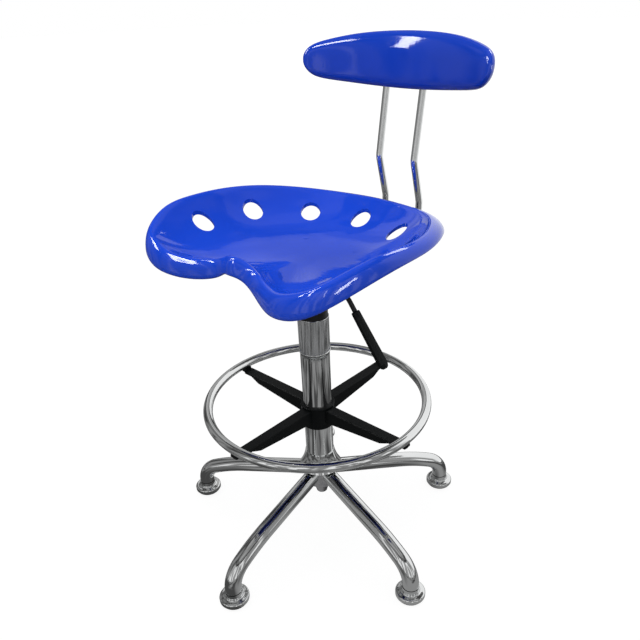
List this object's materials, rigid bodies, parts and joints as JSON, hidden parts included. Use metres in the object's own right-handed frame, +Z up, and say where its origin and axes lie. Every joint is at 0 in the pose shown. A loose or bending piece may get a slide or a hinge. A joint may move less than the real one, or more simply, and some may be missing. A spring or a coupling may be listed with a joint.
{
  "type": "tractor seat stool",
  "caption": "Height-adjustable swivel stool with a dished and vented tractor-style seat, a curved backrest on bent rods, a sliding foot ring and a star base on glides.",
  "frame": {"origin": "on the floor under the axis of the gas column", "axes": "+Z up along the column; one leg points along -Y; the sitter faces near -Y, turned 7.6 degrees to the sitter's left about the column"},
  "size_m": [0.5276, 0.528, 0.8207],
  "materials": {
    "chrome": "bright chrome plate",
    "blue_plastic": "glossy royal blue moulding",
    "black_plastic": "satin black moulding",
    "black_steel": "semi-gloss black powder coat",
    "steel": "zinc-plated steel",
    "rubber": "dull black rubber"
  },
  "bodies": {
    "base": {"base_hub": "black_steel", "hub_cover": "chrome", "column_tube": "chrome", "column_sleeve": "chrome", "guide_bush": "black_plastic", "foot_cap": "steel", "bearing_lower_race": "steel", "bearing_ball_cage": "steel", "leg_front": "chrome", "leg_left": "chrome", "leg_rear_left": "chrome", "leg_rear_right": "chrome", "leg_right": "chrome", "glide_socket_front": "black_plastic", "glide_socket_left": "black_plastic", "glide_socket_rear_left": "black_plastic", "glide_socket_rear_right": "black_plastic", "glide_socket_right": "black_plastic"},
    "rod": {"piston_rod": "steel", "piston_head": "steel", "rod_washer": "steel", "rod_clip": "steel", "bearing_upper_race": "steel", "bump_stop": "rubber"},
    "seat": {"pressure_tube": "chrome", "rod_seal": "rubber", "seat_pan": "blue_plastic", "seat_plate": "black_steel", "taper_socket": "black_steel", "seat_bolts": "steel", "back_rod_left": "chrome", "back_rod_right": "chrome", "rod_saddles": "black_steel", "saddle_screws": "steel", "backrest": "blue_plastic", "rod_sockets": "black_plastic", "back_screws": "steel", "lever_pivot": "steel"},
    "lever": {"lever_rod": "black_steel", "lever_grip": "black_plastic"},
    "valve": {"actuator_pin": "steel"},
    "collet": {"ring_collet": "black_plastic"},
    "ring": {"ring_hub": "black_plastic", "foot_ring": "chrome", "ring_screws": "steel"},
    "glide_front": {"glide_bell_front": "chrome", "glide_pad_front": "rubber"},
    "glide_left": {"glide_bell_left": "chrome", "glide_pad_left": "rubber"},
    "glide_rear_left": {"glide_bell_rear_left": "chrome", "glide_pad_rear_left": "rubber"},
    "glide_rear_right": {"glide_bell_rear_right": "chrome", "glide_pad_rear_right": "rubber"},
    "glide_right": {"glide_bell_right": "chrome", "glide_pad_right": "rubber"}
  },
  "joints": [
    {"name": "seat_swivel", "type": "hinge", "parent": "base", "child": "rod", "pos_m": [0, 0, 0.1], "axis": [0, 0, 1], "continuous": true},
    {"name": "seat_lift", "type": "slide", "parent": "rod", "child": "seat", "axis": [0, 0, 1], "range_m": [0, 0.14]},
    {"name": "lever_pull", "type": "hinge", "parent": "seat", "child": "lever", "pos_m": [0.01982, -0.00265, 0.484], "axis": [-0.1323, -0.9912, 0], "range_deg": [0, 8], "stiffness_Nm_per_rad": 2, "springref_deg": -2.86},
    {"name": "valve_press", "type": "slide", "parent": "seat", "child": "valve", "axis": [0, 0, 1], "range_m": [-0.0037, 0]},
    {"name": "ring_slide", "type": "slide", "parent": "base", "child": "collet", "axis": [0, 0, 1], "range_m": [-0.055, 0.095]},
    {"name": "ring_lock", "type": "hinge", "parent": "collet", "child": "ring", "pos_m": [0, 0, 0.24], "axis": [0, 0, 1], "range_deg": [0, 180]},
    {"name": "glide_turn_front", "type": "hinge", "parent": "base", "child": "glide_front", "pos_m": [0, -0.251, 0.03], "axis": [0, 0, 1], "continuous": true},
    {"name": "glide_turn_left", "type": "hinge", "parent": "base", "child": "glide_left", "pos_m": [0.23872, -0.07756, 0.03], "axis": [0, 0, 1], "continuous": true},
    {"name": "glide_turn_rear_left", "type": "hinge", "parent": "base", "child": "glide_rear_left", "pos_m": [0.14753, 0.20306, 0.03], "axis": [0, 0, 1], "continuous": true},
    {"name": "glide_turn_rear_right", "type": "hinge", "parent": "base", "child": "glide_rear_right", "pos_m": [-0.14753, 0.20306, 0.03], "axis": [0, 0, 1], "continuous": true},
    {"name": "glide_turn_right", "type": "hinge", "parent": "base", "child": "glide_right", "pos_m": [-0.23872, -0.07756, 0.03], "axis": [0, 0, 1], "continuous": true}
  ],
  "couplings": [
    {"joint": "valve_press", "follows": "lever_pull", "m_per_rad": -0.0258}
  ]
}
